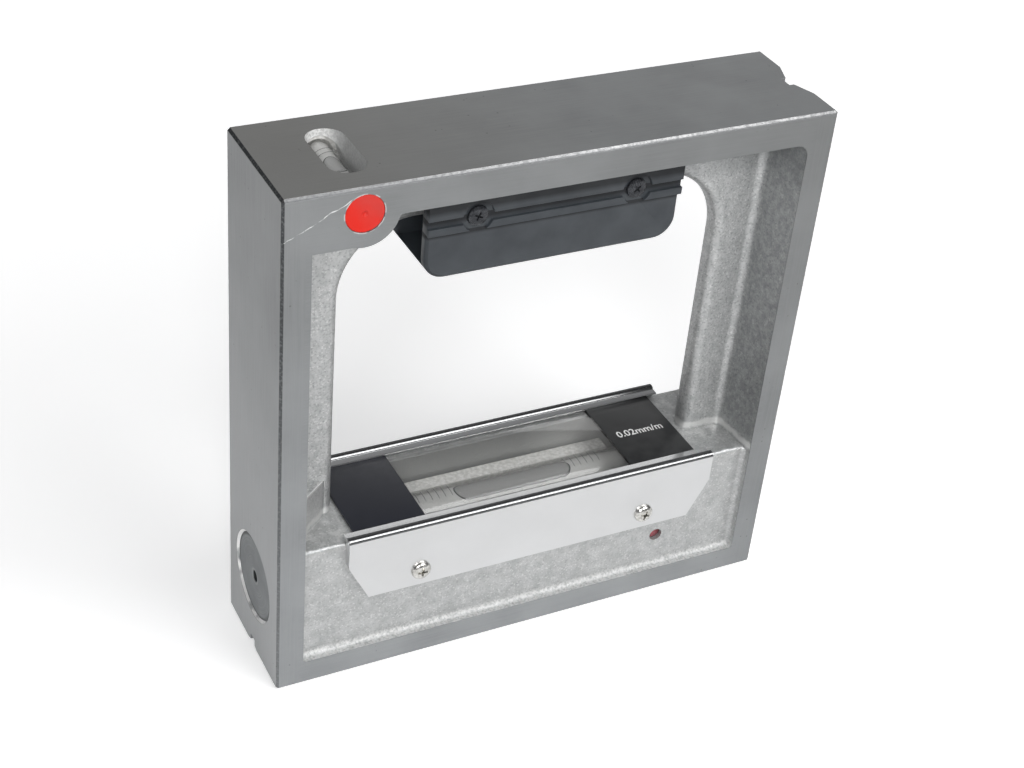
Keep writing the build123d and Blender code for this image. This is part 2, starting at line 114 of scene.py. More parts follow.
def grain(tree, place, scale, detail=3.0, stretch=None):
    """Cloudy noise of that many waves a metre, drawn out along an axis where asked."""
    if stretch:
        place = wire(tree, "ShaderNodeMapping", {"Vector": place, "Scale": stretch})
    return wire(tree, "ShaderNodeTexNoise", {"Vector": place, "Scale": scale, "Detail": detail}, "Fac")


def look_from(at, aim):
    """The turn of a lamp or camera that looks from one place to another."""
    return (Vector(aim) - Vector(at)).to_track_quat("-Z", "Y").to_matrix().to_4x4()


camera_data = bpy.data.cameras.new("photo_camera")
camera_data.lens = CAMERA_LENS
camera_data.sensor_width = 36
camera_data.sensor_fit = "HORIZONTAL"
camera_data.clip_start = 0.01
camera = bpy.data.objects.new("photo_camera", camera_data)
bpy.context.collection.objects.link(camera)
camera.matrix_world = (
    Matrix.Translation(CAMERA_AT) @ look_from(CAMERA_AT, CAMERA_AIM) @ Matrix.Rotation(CAMERA_ROLL, 4, "Z"))
bpy.context.scene.camera = camera
bpy.context.scene.view_settings.view_transform = "Standard"

room = bpy.data.worlds.new("room")
bpy.context.scene.world = room
room.use_nodes = True
tree = room.node_tree
_, way_y, way_z = axes_of(tree, tree.nodes.new("ShaderNodeTexCoord").outputs["Generated"])
lit = both(tree, spread(tree, way_y, 0.36, 0.62), spread(tree, way_z, 0.22, 0.45))
feed(tree, tree.nodes["Background"], {"Color": tint(tree, lit, ROOM_DARK, ROOM_GREY), "Strength": 1.0})

for name, at, aim, wide, high, power in LAMPS:
    lamp_data = bpy.data.lights.new(name, "AREA")
    lamp_data.shape = "RECTANGLE"
    lamp_data.size = wide
    lamp_data.size_y = high
    lamp_data.energy = power
    lamp = bpy.data.objects.new(name, lamp_data)
    bpy.context.collection.objects.link(lamp)
    lamp.matrix_world = Matrix.Translation(at) @ look_from(at, aim)

table_finish = bpy.data.materials.new("table_white")
table_finish.use_nodes = True
tree = table_finish.node_tree
tree.nodes.remove(tree.nodes["Principled BSDF"])
place = tree.nodes.new("ShaderNodeTexCoord").outputs["Object"]
table_tone = tint(tree, grain(tree, place, 3.0, 2.0), TABLE_WHITE, TABLE_PALE)
ray = tree.nodes.new("ShaderNodeLightPath").outputs
from_level = wire(tree, "ShaderNodeVectorMath", {0: place}, "Value", operation="LENGTH")
seen = calc(tree, "MAXIMUM", ray["Is Camera Ray"], ray["Is Transmission Ray"])
lift = both(tree, seen, spread(tree, from_level, 0.18, 0.55, TABLE_LIFT, TABLE_LIFT_FAR))
lift = calc(tree, "MAXIMUM", lift, both(tree, ray["Is Glossy Ray"], TABLE_LIFT_MIRRORED))
matt = wire(tree, "ShaderNodeBsdfDiffuse", {"Color": table_tone})
glow = wire(tree, "ShaderNodeEmission", {"Strength": lift})
feed(tree, tree.nodes["Material Output"], {"Surface": wire(tree, "ShaderNodeAddShader", {0: matt, 1: glow})})
bm = bmesh.new()
bmesh.ops.create_circle(bm, cap_ends=True, segments=64, radius=TABLE_RADIUS)
bmesh.ops.translate(bm, verts=bm.verts, vec=(0, 0, TABLE_TOP))
table_mesh = bpy.data.meshes.new("table")
bm.to_mesh(table_mesh)
bm.free()
table_mesh.materials.append(table_finish)
table = bpy.data.objects.new("table", table_mesh)
bpy.context.collection.objects.link(table)


# Frame: one grey iron casting. The outer faces, rims and prism grooves are ground bright, and what the
# sand left inside is sprayed with silver lacquer, which shows every grain. Edges are broken by stone.
GROUND_GREY = (0.362, 0.374, 0.382, 1)
GROUND_DARK = (0.275, 0.285, 0.292, 1)
GROUND_SHADE_AND_PORE = (0.126, 0.127, 0.122, 1)
GROUND_LIT_LOW = (0.50, 0.51, 0.515, 1)
GROUND_WARM = (0.255, 0.250, 0.236, 1)
EDGE_DARK = (0.05, 0.053, 0.056, 1)
EDGE_DULL = (0.085, 0.087, 0.09, 1)
EDGE_WEAR_HIGHLIGHT = (0.34, 0.342, 0.342, 1)
SCRATCH_BRIGHT = (0.80, 0.81, 0.81, 1)
SILVER_PAINT = (0.53, 0.537, 0.535, 1)
SILVER_SHADE = (0.39, 0.398, 0.398, 1)
SILVER_FLECK_AND_HIGHLIGHT = (0.78, 0.78, 0.77, 1)
SILVER_SPECK_AND_SHADE = (0.20, 0.21, 0.216, 1)
BORE_GREY = (0.31, 0.315, 0.31, 1)
BORE_LIT = (0.56, 0.563, 0.555, 1)
SLOT_SILVER = (0.90, 0.90, 0.89, 1)
SLOT_SHADE = (0.62, 0.62, 0.615, 1)
FRAME_HALF, FRAME_DEEP, FRAME_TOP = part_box("frame_casting")[1]
RIM_FACE = FRAME_DEEP - 0.25 * MM
SIDE_METAL = FRAME_HALF - 6.1 * MM
TOP_METAL = FRAME_TOP - 7.9 * MM
BASE_METAL = 6.8 * MM
SHELF = 43.2 * MM
SOFT_EDGE = 0.12 * MM
BROKEN_EDGE = 0.70 * MM
CROSS_X = -54.8 * MM
CROSS_Z = 143.2 * MM
CROSS_BORE = 4.9 * MM
SLOT_HALF_WIDE = 5.25 * MM
SLOT_HALF_LONG = 11.3 * MM
WEB_FACE = 3.25 * MM
GUSSET_TOE = -56.6 * MM
GUSSET_LEAN = 0.78
GUSSET_TOP = SHELF + 12.0 * MM
SCRATCH_FROM = (-73.6 * MM, 139.2 * MM)
SCRATCH_TO = (-58.0 * MM, 147.3 * MM)


def new_finish(name):
    """A finish to fill: the material, its node tree, its shader and the place on the object."""
    finish = bpy.data.materials.new(name)
    finish.use_nodes = True
    nodes = finish.node_tree.nodes
    return finish, finish.node_tree, nodes["Principled BSDF"], nodes.new("ShaderNodeTexCoord").outputs["Object"]


def off(tree, value, middle):
    """How far a value is from its middle, either way."""
    return calc(tree, "ABSOLUTE", calc(tree, "SUBTRACT", value, middle))


def reach(tree, a, b):
    """The distance that two measures at right angles make."""
    return calc(tree, "SQRT", calc(tree, "ADD", calc(tree, "POWER", a, 2.0), calc(tree, "POWER", b, 2.0)))


def relief(tree, height, depth, strength):
    """Turns a height from 0 to 1 into a slope of the surface, that many metres deep."""
    return wire(tree, "ShaderNodeBump", {"Height": height, "Distance": depth, "Strength": strength})


def dress(node, finish):
    """Gives a solid of the frame its finish."""
    for material_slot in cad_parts[node].material_slots:
        material_slot.material = finish


casting_finish, tree, shader, place = new_finish("ground_and_silver_cast")
x, y, z = axes_of(tree, place)
across = calc(tree, "ABSOLUTE", x)
through = calc(tree, "ABSOLUTE", y)
wander = spread(tree, grain(tree, place, 900.0), 0.3, 0.7, -0.06 * MM, 0.06 * MM)
on_rim = spread(tree, calc(tree, "ADD", through, wander), RIM_FACE, RIM_FACE + SOFT_EDGE)
on_side = spread(tree, across, SIDE_METAL, SIDE_METAL + SOFT_EDGE)
on_top = spread(tree, z, TOP_METAL, TOP_METAL + SOFT_EDGE)
on_base = spread(tree, z, BASE_METAL, BASE_METAL - SOFT_EDGE)
ground = calc(tree, "MAXIMUM", calc(tree, "MAXIMUM", on_rim, on_side), calc(tree, "MAXIMUM", on_top, on_base))

# ground faces: long fine lines from the wheel and a cloudy tone, darkened upwards and to the right by painted
# shade;
# the top face is warmer towards its left end, the side faces get painted light low down, and the iron has pores
lines_along = grain(tree, place, 1.0, 4.0, (60, 2600, 2600))
lines_up = grain(tree, place, 1.0, 4.0, (2600, 2600, 60))
wheel_lines = wire(tree, "ShaderNodeMix", {0: on_side, 2: lines_along, 3: lines_up})
cloud = grain(tree, place, 45.0, 5.0)
ground_tone = tint(tree, spread(tree, cloud, 0.3, 0.7), GROUND_DARK, GROUND_GREY)
ground_tone = tint(tree, spread(tree, wheel_lines, 0.35, 0.75, 0.0, 0.35), ground_tone, GROUND_GREY)
# painted shade: the ground faces darken upwards and to the right, stopping short of the top face
rising = calc(tree, "ADD", z, calc(tree, "MULTIPLY", x, 0.5))
below_top = spread(tree, z, FRAME_TOP - 0.25 * MM, FRAME_TOP - 0.05 * MM, 1.0, 0.0)
tone_drift = both(tree, spread(tree, rising, 0.0, 180.0 * MM, 0.0, 0.56), below_top)
ground_tone = tint(tree, tone_drift, ground_tone, GROUND_SHADE_AND_PORE)
on_top_face = spread(tree, z, FRAME_TOP - 0.05 * MM, FRAME_TOP - 0.01 * MM)
warm = both(tree, on_top_face, spread(tree, x, 10.0 * MM, -60.0 * MM, 0.14, 0.75))
ground_tone = tint(tree, warm, ground_tone, GROUND_WARM)
# painted light: the left and right faces are lighter low down
on_side_face = spread(tree, across, FRAME_HALF - 0.10 * MM, FRAME_HALF - 0.02 * MM)
lit_low = both(tree, on_side_face, spread(tree, z, 115.0 * MM, 40.0 * MM, 0.12, 0.60))
ground_tone = tint(tree, lit_low, ground_tone, GROUND_LIT_LOW)
pores = wire(tree, "ShaderNodeTexVoronoi", {"Vector": place, "Scale": 520.0}, "Distance")
rare = spread(tree, grain(tree, place, 160.0, 1.0), 0.60, 0.64)
ground_tone = tint(tree, both(tree, spread(tree, pores, 0.16, 0.08), rare, 0.6), ground_tone, GROUND_SHADE_AND_PORE)

# broken edges: dark and chipped beside the left and right faces, darker upwards as painted shade; bright along the
# top, partly wear and partly painted highlight
edge_x = spread(tree, across, FRAME_HALF - BROKEN_EDGE - 0.05 * MM, FRAME_HALF - BROKEN_EDGE + 0.05 * MM)
edge_y = spread(tree, through, FRAME_DEEP - BROKEN_EDGE - 0.01 * MM, FRAME_DEEP - BROKEN_EDGE + 0.02 * MM)
edge_z = spread(tree, z, FRAME_TOP - BROKEN_EDGE - 0.01 * MM, FRAME_TOP - BROKEN_EDGE + 0.02 * MM)
off_side = spread(tree, across, FRAME_HALF - 0.08 * MM, FRAME_HALF - 0.02 * MM, 1.0, 0.0)
off_front = spread(tree, through, FRAME_DEEP - 0.015 * MM, FRAME_DEEP - 0.002 * MM, 1.0, 0.0)
off_top = spread(tree, z, FRAME_TOP - 0.015 * MM, FRAME_TOP - 0.002 * MM, 1.0, 0.0)
# painted shade: the dark on the upright edges deepens from the bottom to the top
upright = both(tree, edge_x, edge_y, off_side, off_front, spread(tree, z, 20.0 * MM, 120.0 * MM, 0.55, 1.0))
level_ends = both(tree, edge_x, edge_z, off_side, off_top)
chips = grain(tree, place, 1300.0, 4.0)
broken = both(tree, calc(tree, "MAXIMUM", upright, level_ends), spread(tree, chips, 0.36, 0.52, 0.55, 0.92))
ground_tone = tint(tree, broken, ground_tone, EDGE_DARK)
# partly wear, partly painted highlight: the top front edge is painted bright, most towards the right
wear_and_highlight = both(
    tree, spread(tree, z, FRAME_TOP - 0.58 * MM, FRAME_TOP - 0.34 * MM, 0.12, 1.0),
    spread(tree, x, -62.0 * MM, 30.0 * MM, 0.30, 1.0), spread(tree, chips, 0.38, 0.58, 0.45, 1.0))
level_long = both(tree, edge_y, edge_z, off_front, off_top)
ground_tone = tint(tree, level_long, ground_tone, tint(tree, wear_and_highlight, EDGE_DULL, EDGE_WEAR_HIGHLIGHT))

# a light ring runs round the red buttons, and one scratch from the left edge up to the front button
from_x = calc(tree, "SUBTRACT", x, CROSS_X)
from_bore = reach(tree, from_x, calc(tree, "SUBTRACT", z, CROSS_Z))
ring = both(
    tree, spread(tree, from_bore, CROSS_BORE + 0.45 * MM, CROSS_BORE), on_rim,
    spread(tree, grain(tree, place, 420.0, 2.0), 0.42, 0.52))
ground_tone = tint(tree, ring, ground_tone, SCRATCH_BRIGHT)
slope = (SCRATCH_TO[1] - SCRATCH_FROM[1]) / (SCRATCH_TO[0] - SCRATCH_FROM[0])
line_z = calc(tree, "MULTIPLY_ADD", calc(tree, "SUBTRACT", x, SCRATCH_FROM[0]), slope)
feed(tree, line_z.node, {2: SCRATCH_FROM[1]})
waver = spread(tree, grain(tree, place, 240.0, 2.0), 0.3, 0.7, -0.45 * MM, 0.45 * MM)
scratch = both(
    tree, spread(tree, off(tree, calc(tree, "ADD", z, waver), line_z), 0.19 * MM, 0.06 * MM),
    spread(tree, x, SCRATCH_TO[0] + 0.3 * MM, SCRATCH_TO[0]),
    spread(tree, grain(tree, place, 900.0, 3.0), 0.34, 0.54),
    spread(tree, y, -RIM_FACE, -RIM_FACE - 0.2 * MM))
ground_tone = tint(tree, scratch, ground_tone, SCRATCH_BRIGHT)

# cast faces: silver lacquer over sand grain, with dark specks and bright flecks; painted shade darkens the flange
# walls and the web under the top rim, and painted highlights make light lines on the low ledge, at the foot of the
# walls and on the gussets
sand = grain(tree, place, 1500.0, 4.0)
lumps = grain(tree, place, 330.0, 3.0)
paint_tone = tint(tree, spread(tree, lumps, 0.35, 0.65, 0.30, 1.0), SILVER_SHADE, SILVER_PAINT)
specks = both(tree, spread(tree, sand, 0.50, 0.30), spread(tree, z, 44.0 * MM, 50.0 * MM, 0.40, 0.60))
paint_tone = tint(tree, specks, paint_tone, SILVER_SPECK_AND_SHADE)
cells = wire(tree, "ShaderNodeTexVoronoi", {"Vector": place, "Scale": 2600.0}, "Color")
chance = wire(tree, "ShaderNodeSeparateColor", {"Color": cells}, "Red")
paint_tone = tint(tree, spread(tree, chance, 0.90, 0.94, 0.0, 0.42), paint_tone, SILVER_FLECK_AND_HIGHLIGHT)
# painted shade on the inner flange walls above the shelf, in blotches
flange_wall_shade = both(
    tree, spread(tree, across, 65.2 * MM, 66.2 * MM), spread(tree, z, 44.0 * MM, 48.0 * MM),
    spread(tree, grain(tree, place, 620.0, 6.0), 0.36, 0.64, 0.28, 0.68))
paint_tone = tint(tree, flange_wall_shade, paint_tone, SILVER_SPECK_AND_SHADE)
# painted highlight: a grainy light band along the low ledge
low_band_highlight = spread(tree, z, 9.6 * MM, 8.6 * MM)
paint_tone = tint(tree, both(tree, low_band_highlight, spread(tree, sand, 0.38, 0.62, 0.12, 0.52)), paint_tone, SILVER_FLECK_AND_HIGHLIGHT)
# painted shade: the paint darkens towards the top rim
paint_tone = tint(tree, spread(tree, z, 126.0 * MM, 134.0 * MM, 0.0, 0.45), paint_tone, SILVER_SPECK_AND_SHADE)
# painted highlight: a light line at the foot of the walls, just above the shelf
foot_height = calc(tree, "ADD", z, spread(tree, lumps, 0.3, 0.7, -0.5 * MM, 0.5 * MM))
foot_highlight = spread(tree, off(tree, foot_height, SHELF + 1.5 * MM), 1.4 * MM, 0.5 * MM, 0.0, 0.85)
paint_tone = tint(tree, both(tree, foot_highlight, spread(tree, across, 53.0 * MM, 54.0 * MM)), paint_tone, SILVER_FLECK_AND_HIGHLIGHT)
# painted highlight: light lines along the gussets' upper edges
from_toe = calc(tree, "SUBTRACT", GUSSET_TOE, x)
gusset_face = calc(tree, "MULTIPLY_ADD", from_toe, GUSSET_LEAN)
feed(tree, gusset_face.node, {2: WEB_FACE})
gusset_highlight = both(
    tree, spread(tree, off(tree, through, gusset_face), 0.5 * MM, 0.2 * MM),
    spread(tree, from_toe, 0.3 * MM, 0.8 * MM),
    spread(tree, z, GUSSET_TOP + 0.4 * MM, GUSSET_TOP + 0.2 * MM),
    spread(tree, z, GUSSET_TOP - 0.9 * MM, GUSSET_TOP - 0.4 * MM, 0.40, 0.95))
paint_tone = tint(tree, gusset_highlight, paint_tone, SILVER_FLECK_AND_HIGHLIGHT)

# the bore is left bare, and painted light brightens it to the right; the slot over the cross vial is painted more
# thickly
bored = both(
    tree, spread(tree, through, 13.3 * MM, 13.2 * MM), spread(tree, z, SHELF + 0.2 * MM, SHELF + 0.1 * MM),
    spread(tree, across, 51.7 * MM, 51.5 * MM))
bore_tone = tint(tree, spread(tree, x, 10.0 * MM, 34.0 * MM), BORE_GREY, BORE_LIT)
paint_tone = tint(tree, bored, paint_tone, bore_tone)
in_slot = both(
    tree, spread(tree, calc(tree, "ABSOLUTE", from_x), SLOT_HALF_WIDE + 0.1 * MM, SLOT_HALF_WIDE),
    spread(tree, through, SLOT_HALF_LONG + 0.1 * MM, SLOT_HALF_LONG),
    spread(tree, z, FRAME_TOP - 0.01 * MM, FRAME_TOP - 0.05 * MM), spread(tree, z, 136.0 * MM, 137.0 * MM))
ground = both(tree, ground, calc(tree, "SUBTRACT", 1.0, in_slot))
slot_tone = tint(tree, spread(tree, sand, 0.42, 0.58), SLOT_SHADE, SLOT_SILVER)
slot_tone = tint(tree, spread(tree, from_x, 1.0 * MM, 4.6 * MM, 0.0, 0.75), slot_tone, SILVER_SHADE)
paint_tone = tint(tree, in_slot, paint_tone, slot_tone)

paint_height = calc(tree, "ADD", calc(tree, "MULTIPLY", sand, 0.55), calc(tree, "MULTIPLY", lumps, 1.2))
paint_height = calc(tree, "ADD", paint_height, calc(tree, "MULTIPLY", chance, 0.10))
paint_slope = relief(tree, paint_height, 0.24 * MM, 0.8)
ground_height = calc(tree, "ADD", wheel_lines, calc(tree, "MULTIPLY", cloud, 0.5))
ground_slope = relief(tree, ground_height, 0.012 * MM, 0.8)
paint_gloss = calc(tree, "ADD", spread(tree, sand, 0.3, 0.7, 0.46, 0.34), calc(tree, "MULTIPLY", low_band_highlight, 0.24))
ground_gloss = spread(tree, wheel_lines, 0.3, 0.7, 0.42, 0.34)
feed(tree, shader, {
    "Base Color": tint(tree, ground, paint_tone, ground_tone),
    "Metallic": both(tree, spread(tree, ground, 0.0, 1.0, 0.62, 0.88), spread(tree, in_slot, 0.0, 1.0, 1.0, 0.25)),
    "Roughness": wire(tree, "ShaderNodeMix", {0: ground, 2: paint_gloss, 3: ground_gloss}),
    "Normal": wire(tree, "ShaderNodeMix", {0: ground, 4: paint_slope, 5: ground_slope}, 1, data_type="VECTOR")})
dress("frame_casting", casting_finish)


# Bore plug: a steel disc turned on the lathe and pressed into the left end of the bore, a little below
# the ground face. A small blind hole in its middle is there to pull it out again.
PLUG_STEEL = (0.24, 0.255, 0.26, 1)
PLUG_STEEL_DARK = (0.17, 0.18, 0.187, 1)
PLUG_RIM_HIGHLIGHT = (0.93, 0.93, 0.92, 1)
PLUG_GAP_SHADOW = (0.05, 0.054, 0.056, 1)
PLUG_DISC = 12.2
PLUG_RADIUS = 13.0
PLUG_HOLE = 1.6
BORE_AT = (0, 0, 25.0 * MM)
AXIS = {"X": Vector((1, 0, 0)), "Y": Vector((0, 1, 0))}
UP = Vector((0, 0, 1))


def lathe(profile, axis, at, steps):
    """A turned piece: points of (along the axis, radius), in mm, spun about that axis through a place."""
    bm = bmesh.new()
    points = [bm.verts.new(Vector(at) + (AXIS[axis] * along + UP * radius) * MM) for along, radius in profile]
    edges = [bm.edges.new(pair) for pair in zip(points, points[1:])]
    bmesh.ops.spin(
        bm, geom=points + edges, cent=at, axis=AXIS[axis], angle=2 * math.pi, steps=steps, use_merge=True)
    bmesh.ops.remove_doubles(bm, verts=bm.verts, dist=1e-7)
    bmesh.ops.recalc_face_normals(bm, faces=bm.faces)
    return bm


def make_piece(bm, name, body, material_slot, finish, *nodes, sharp=35):
    """Makes a mesh a piece of the level: shaded smooth up to an angle, on its body, in place of its solids."""
    for face in bm.faces:
        face.smooth = True
    mesh = bpy.data.meshes.new(name)
    bm.to_mesh(mesh)
    bm.free()
    mesh.set_sharp_from_angle(angle=math.radians(sharp))
    mesh.materials.append(finish)
    piece = bpy.data.objects.new(name, mesh)
    bpy.context.collection.objects.link(piece)
    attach(piece, body)
    if nodes:
        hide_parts(*nodes)


plug_finish, tree, shader, place = new_finish("turned_plug_steel")
_, y, z = axes_of(tree, place)
radius = reach(tree, y, calc(tree, "SUBTRACT", z, BORE_AT[2]))
rings = {"W": calc(tree, "MULTIPLY", radius, 2600.0), "Scale": 1.0}
turned = wire(tree, "ShaderNodeTexNoise", rings, "Fac", noise_dimensions="1D")
smudge = grain(tree, place, 160.0, 4.0)
plug_tone = tint(tree, spread(tree, smudge, 0.3, 0.7), PLUG_STEEL_DARK, PLUG_STEEL)
plug_tone = tint(tree, spread(tree, turned, 0.4, 0.7, 0.0, 0.4), plug_tone, PLUG_STEEL)
plug_tone = tint(tree, spread(tree, radius, 2.7 * MM, 2.2 * MM, 0.0, 0.5), plug_tone, GROUND_GREY)
# painted shadow: a dark ring at the disc's edge and dark inside the blind hole
gap_shadow = both(
    tree, spread(tree, radius, (PLUG_DISC - 0.85) * MM, (PLUG_DISC - 0.45) * MM),
    spread(tree, smudge, 0.36, 0.56, 0.55, 0.95))
hole_shade = spread(tree, radius, (PLUG_HOLE + 0.12) * MM, (PLUG_HOLE + 0.02) * MM, 0.0, 0.85)
plug_tone = tint(tree, calc(tree, "MAXIMUM", gap_shadow, hole_shade), plug_tone, PLUG_GAP_SHADOW)
# the rim is burnished, and painted near white as a highlight
burnished_highlight = spread(tree, radius, (PLUG_DISC + 0.08) * MM, (PLUG_DISC + 0.16) * MM)
rim_tone = tint(tree, spread(tree, smudge, 0.36, 0.5), PLUG_STEEL, PLUG_RIM_HIGHLIGHT)
feed(tree, shader, {
    "Base Color": tint(tree, burnished_highlight, plug_tone, rim_tone),
    "Metallic": spread(tree, burnished_highlight, 0.0, 1.0, 0.9, 0.45),
    "Roughness": spread(tree, turned, 0.3, 0.7, 0.34, 0.46),
    "Normal": relief(tree, turned, 0.02 * MM, 0.7)})
plug_low, plug_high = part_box("bore_plug")
plug_face = plug_low[0] / MM
plug_thick = plug_high[0] / MM - plug_face
plug_profile = [
    (2.0, 0.0), (2.0, 1.0), (1.4, PLUG_HOLE), (0.25, PLUG_HOLE), (0.0, 1.85), (0.0, 2.1),
    (0.0, PLUG_DISC - 0.2), (0.0, PLUG_DISC - 0.06), (0.22, PLUG_DISC), (0.22, PLUG_DISC + 0.08),
    (-0.50, PLUG_RADIUS - 0.02), (-0.53, PLUG_RADIUS), (plug_thick, PLUG_RADIUS), (plug_thick, 0.0)]
plug = lathe([(plug_face + a, r) for a, r in plug_profile], "X", BORE_AT, 96)
make_piece(plug, "bore_plug_turned", "frame", "plug_steel", plug_finish, "bore_plug")
dress("carrier_pivot_pin", plug_finish)


# Vial carrier: a zinc bar inside the bore, left as cast on its round back and painted white under the
# vial so that the bubble reads well. It tilts on the pin at its left end.
ZINC_PALE = (0.74, 0.74, 0.72, 1)
ZINC_SHADE = (0.50, 0.50, 0.49, 1)
BED_WHITE = (0.80, 0.80, 0.78, 1)
BED_RADIUS = 8.1 * MM
VIAL_LOW, VIAL_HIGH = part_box("main_vial")
VIAL_AT = (0, 0, (VIAL_LOW[2] + VIAL_HIGH[2]) / 2)
carrier_finish, tree, shader, place = new_finish("cast_zinc_white_bed")
_, y, z = axes_of(tree, place)
in_bed = spread(tree, reach(tree, y, calc(tree, "SUBTRACT", z, VIAL_AT[2])), BED_RADIUS + SOFT_EDGE, BED_RADIUS)
zinc_grain = grain(tree, place, 1300.0, 4.0)
zinc_tone = tint(tree, spread(tree, zinc_grain, 0.38, 0.62), ZINC_SHADE, ZINC_PALE)
feed(tree, shader, {
    "Base Color": tint(tree, in_bed, zinc_tone, BED_WHITE),
    "Metallic": spread(tree, in_bed, 0.0, 1.0, 0.25, 0.0),
    "Roughness": spread(tree, zinc_grain, 0.3, 0.7, 0.5, 0.65),
    "Normal": relief(tree, zinc_grain, 0.12 * MM, 0.8)})
dress("vial_carrier", carrier_finish)


# Vial seats: white plaster poured round both ends of the main vial and of the cross vial. It sets hard,
# holds the glass without strain, and stays grainy.
PLASTER = (0.70, 0.695, 0.675, 1)
PLASTER_SHADE = (0.50, 0.495, 0.475, 1)
plaster_finish, tree, shader, place = new_finish("white_plaster")
plaster_grain = grain(tree, place, 900.0, 5.0)
feed(tree, shader, {
    "Base Color": tint(tree, spread(tree, plaster_grain, 0.35, 0.65), PLASTER_SHADE, PLASTER),
    "Roughness": 0.9,
    "Normal": relief(tree, plaster_grain, 0.15 * MM, 0.8)})
dress("vial_seats", plaster_finish)
dress("cross_vial_seats", plaster_finish)


# Plaster beads: a band of the same plaster along both sides of the vial, struck off flat over the carrier's
# shoulders. It keeps the vial from creeping.
BEAD_TOP = VIAL_AT[2] + 3.5 * MM
BEAD_HALF = 35.4 * MM
BEAD_EASE = 0.3 * MM
BEAD_SECTION = (
    (6.12, 0.0), (11.2, 0.0), (11.2, -2.4), (10.0, -4.6), (9.0, -3.2), (8.0, -2.1), (7.2, -2.3), (6.95, -2.3))
beads = bmesh.new()
for side in (-1, 1):
    outline = [beads.verts.new((-BEAD_HALF, side * out * MM, BEAD_TOP + rise * MM)) for out, rise in BEAD_SECTION]
    pulled = bmesh.ops.extrude_face_region(beads, geom=[beads.faces.new(outline)], use_keep_orig=True)["geom"]
    far_end = [g for g in pulled if isinstance(g, bmesh.types.BMVert)]
    bmesh.ops.translate(beads, verts=far_end, vec=(2 * BEAD_HALF, 0, 0))
upper = [e for e in beads.edges if all(abs(v.co.z - BEAD_TOP) < 1e-6 for v in e.verts)]
bmesh.ops.bevel(
    beads, geom=upper, offset=BEAD_EASE, offset_type="OFFSET", affect="EDGES", segments=2, profile=0.5,
    clamp_overlap=True, material=-1)
bmesh.ops.recalc_face_normals(beads, faces=beads.faces)
make_piece(beads, "vial_plaster_beads", "carrier", "plaster", plaster_finish)


# Main vial: a ground glass tube with sealed, rounded ends. Its dark division lines are 2 mm apart and
# burnt into the crown on both sides of the middle.
GLASS_TINT = (0.965, 0.967, 0.963, 1)
GLASS_MIRROR = (0.91, 0.91, 0.905, 1)
GLASS_CLEAR = (1, 1, 1, 1)
LINE_INK = (0.13, 0.132, 0.132, 1)
LINE_FADE = (0.24, 0.242, 0.24, 1)
LINE_WIDE = 0.22
LINE_PROUD = 0.03
LINE_PITCH = 2.0
FIRST_LINE = 18.0
LINES_A_SIDE = 6
LINE_SWEEP = 36
VIAL_RADIUS = (VIAL_HIGH[1] - VIAL_LOW[1]) / 2 / MM
VIAL_HALF = (VIAL_HIGH[0] - VIAL_LOW[0]) / 2 / MM


def clear_finish(name, tint_colour, mirror, gloss, waves):
    """A thin clear wall: what is behind it shows through, tinted, and its surface mirrors at a slant."""
    finish, tree, shader, place = new_finish(name)
    ripple = grain(tree, place, waves, 2.0)
    slope = relief(tree, ripple, 0.02 * MM, 0.5)
    feed(tree, shader, {
        "Base Color": GLASS_MIRROR, "Metallic": 1.0, "Normal": slope,
        "Roughness": spread(tree, ripple, 0.3, 0.7, gloss, gloss + 0.04)})
    wall_tone = tint(tree, spread(tree, ripple, 0.3, 0.7, 0.0, 0.2), tint_colour, GLASS_CLEAR)
    open_wall = wire(tree, "ShaderNodeBsdfTransparent", {"Color": wall_tone})
    slant = wire(tree, "ShaderNodeLayerWeight", {"Blend": 0.5, "Normal": slope}, "Facing")
    mirrored = spread(tree, calc(tree, "POWER", slant, 5.0), 0.0, 1.0, mirror, 1.0)
    shown = wire(tree, "ShaderNodeMixShader", {0: mirrored, 1: open_wall, 2: shader.outputs[0]})
    feed(tree, tree.nodes["Material Output"], {"Surface": shown})
    return finish


def vial_profile(half, radius, dome):
    """Half section of a sealed tube about its middle, its ends rounded over by a dome."""
    turns = [math.radians(15 * step) for step in range(7)]
    end = [(half - dome + dome * math.sin(a), radius - dome + dome * math.cos(a)) for a in turns]
    return [(-half, 0.0)] + [(-along, out) for along, out in reversed(end)] + end + [(half, 0.0)]


def division_lines(first, count, axis, at, radius, sweep, steps):
    """Lines across the crown of a vial, on both sides of its middle: thin bands swept about its axis."""
    marks = bmesh.new()
    for middle in (side * (first + LINE_PITCH * step) for side in (-1, 1) for step in range(count)):
        section = [
            marks.verts.new(Vector(at) + (AXIS[axis] * (middle + half * LINE_WIDE) + UP * (radius + out)) * MM)
            for half, out in ((-0.5, 0.0), (0.5, 0.0), (0.5, LINE_PROUD), (-0.5, LINE_PROUD))]
        start = marks.faces.new(section)
        bmesh.ops.rotate(marks, verts=section, cent=at, matrix=Matrix.Rotation(-math.radians(sweep) / 2, 3, axis))
        bmesh.ops.spin(marks, geom=[start], cent=at, axis=AXIS[axis], angle=math.radians(sweep), steps=steps)
    bmesh.ops.recalc_face_normals(marks, faces=marks.faces)
    return marks


glass_finish = clear_finish("vial_glass_clear", GLASS_TINT, 0.05, 0.03, 90.0)
main_tube = lathe(vial_profile(VIAL_HALF, VIAL_RADIUS, 2.5), "X", VIAL_AT, 64)
make_piece(main_tube, "main_vial_glass", "carrier", "vial_glass", glass_finish, "main_vial", sharp=60)

